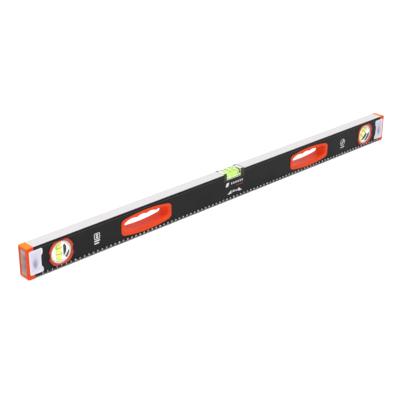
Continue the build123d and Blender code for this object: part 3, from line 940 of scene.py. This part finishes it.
# %% Middle vial
block_low, block_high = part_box("centre_block")
form = bmesh.new()
add_box(form, block_low, block_high)
bmesh.ops.bevel(
    form, geom=form.edges[:], offset=0.5 * MM, segments=3, profile=0.5, affect="EDGES", material=-1
)
centre_body = piece("centre_body", form, block_clear)
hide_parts("centre_block")
liquid_low, liquid_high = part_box("centre_liquid")
form = filling((liquid_high.x - liquid_low.x) / 2, FILL_RADIUS, 1.2 * MM)
form.transform(Matrix.Translation(((liquid_high.x + liquid_low.x) / 2, 0, middle("centre_plug").z)))
centre_filling = piece("centre_filling", form, green_spirit, "level", True)
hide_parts("centre_liquid")
form = air(BUBBLE_HALF, BUBBLE_RADIUS)
form.transform(Matrix.Translation(middle("centre_bubble")))
centre_air = piece("centre_air", form, bubble_clear, "bubble_centre", True)
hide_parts("centre_bubble")
print("middle vial", centre_body.name, centre_filling.name, centre_air.name)

# %% [markdown]
# A turning dial needs a scale, so short degree marks are added round the drum's
# white rim, on both faces, and round the fixed one's too. They are a guess.

# %% Degree marks
MARK_INNER = 19.0 * MM
MARK_OUTER = 21.0 * MM
drum_face = -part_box("vial_drum_right")[0].y


def degree_marks(hub, lean):
    """Short strokes round both rims of a drum, every 15 degrees, with longer ones at 45."""
    form = bmesh.new()
    for degrees in range(0, 360, 15):
        inner = MARK_INNER if degrees % 45 == 0 else MARK_INNER + 0.7 * MM
        half = 0.14 * MM
        spoke = Matrix.Rotation(math.radians(degrees), 4, "Y")
        for side_y in (-1, 1):
            stroke = bmesh.new()
            low = (inner, min(side_y * drum_face, side_y * (drum_face + INK)), -half)
            high = (MARK_OUTER, max(side_y * drum_face, side_y * (drum_face + INK)), half)
            add_box(stroke, low, high)
            stroke.transform(spoke)
            mesh = bpy.data.meshes.new("stroke")
            stroke.to_mesh(mesh)
            stroke.free()
            form.from_mesh(mesh)
            bpy.data.meshes.remove(mesh)
    form.transform(Matrix.Translation(hub) @ lean)
    return form


piece("degree_marks_right", degree_marks(drum_right, lean_of("right")), black_ink, "dial")
piece("degree_marks_left", degree_marks(drum_left, lean_of("left")), black_ink)
print("rims marked at", drum_face)

# %% [markdown]
# Besides the ruler, each face carries a few printed signs: a sign for a plumb
# vial on the left, a plain heading with the length and two wedges under the
# middle vial, and a round sign for the turning dial on the right.

# %% Printed signs


def add_prism(form, points):
    """Thin upright prism over an (x, z) outline."""
    front = [form.verts.new((x, -INK, z)) for x, z in points]
    rear = [form.verts.new((x, INK / 3, z)) for x, z in points]
    form.faces.new(front)
    form.faces.new(list(reversed(rear)))
    for index in range(len(points)):
        after = (index + 1) % len(points)
        form.faces.new((front[index], rear[index], rear[after], front[after]))


def add_band(form, centre, outer, inner, start=0, end=360, steps=40):
    """Flat ring or part of one, as a run of small prisms."""
    for step in range(steps):
        angles = [math.radians(start + (end - start) * (step + part) / steps) for part in (0, 1)]
        first, second = [(math.cos(a), math.sin(a)) for a in angles]
        ring_points = [(outer, first), (outer, second), (inner, second), (inner, first)]
        add_prism(form, [(centre[0] + r * c, centre[1] + r * s) for r, (c, s) in ring_points])


def add_bar(form, low, high):
    """Printed rectangle between two (x, z) corners in millimetres."""
    add_box(form, (low[0] * MM, -INK, low[1] * MM), (high[0] * MM, INK / 3, high[1] * MM))


def plumb_sign():
    """Upright frame with a vial and its bubble, over two plain bars."""
    form = bmesh.new()
    for low, high in (
        ((-6.5, 29.5), (-5.0, 42)),
        ((5.0, 29.5), (6.5, 42)),
        ((-6.5, 40.6), (6.5, 42)),
        ((-6.5, 29.5), (6.5, 30.9)),
        ((-2.4, 32.0), (2.4, 35.2)),
        ((-2.4, 36.4), (2.4, 39.4)),
        ((-6.5, 25.2), (6.5, 27.8)),
        ((-6.5, 20.4), (4.0, 23.0)),
    ):
        add_bar(form, low, high)
    return form


def middle_sign():
    """Plain heading over a size between two wedges."""
    form = bmesh.new()
    add_prism(form, [(x * MM, z * MM) for x, z in ((-24, 33), (-17, 33), (-14, 41), (-21, 41))])
    for start in (-8, -2, 4, 10, 16, 22):
        add_bar(form, (start, 35.0), (start + 2.6, 39.4))
    add_prism(form, [(x * MM, z * MM) for x, z in ((-18, 15), (-7.5, 15), (-7.5, 22.8))])
    add_prism(form, [(x * MM, z * MM) for x, z in ((12.5, 15), (23, 15), (12.5, 22.8))])
    size_words = text_mesh("100 cm", 4.4 * MM, 0.2 * MM)
    size_words.transform(Matrix.Translation((2.5 * MM, -INK / 2, 16.6 * MM)))
    form.from_mesh(size_words)
    bpy.data.meshes.remove(size_words)
    return form


def dial_sign():
    """Round dial with a slanted vial, over two plain bars."""
    form = bmesh.new()
    add_band(form, (0, 32.5 * MM), 8.0 * MM, 6.6 * MM)
    slant = [(-1.5, -5.2), (1.5, -5.2), (1.5, 5.2), (-1.5, 5.2)]
    turn = math.radians(-45)
    add_prism(
        form,
        [
            (
                (x * math.cos(turn) - z * math.sin(turn)) * MM,
                (32.5 + x * math.sin(turn) + z * math.cos(turn)) * MM,
            )
            for x, z in slant
        ],
    )
    add_bar(form, (-6.5, 20.2), (6.5, 22.2))
    return form


red_ink = moulded(
    "red_ink", (0.24, 0.045, 0.03), (0.18, 0.03, 0.02), (0.2, 0.04, 0.03), (0.45, 0.6), wear=0.0
)
SIGN_PLACES = {
    "plumb_sign": (plumb_sign, -350.5),
    "middle_sign": (middle_sign, 0.0),
    "dial_sign": (dial_sign, 349.0),
}
for face in ("front", "back"):
    for name, (draw, x) in SIGN_PLACES.items():
        form = draw()
        along = x if face == "front" else -x
        form.transform(facing_matrix(face) @ Matrix.Translation((along * MM, 0, 0)))
        piece(f"{name}_{face}", form, white_ink)
    form = bmesh.new()
    add_bar(form, (6, 28.4), (26, 30.8))
    form.transform(facing_matrix(face))
    piece(f"red_rule_{face}", form, red_ink)
print("signs on both faces:", list(SIGN_PLACES))
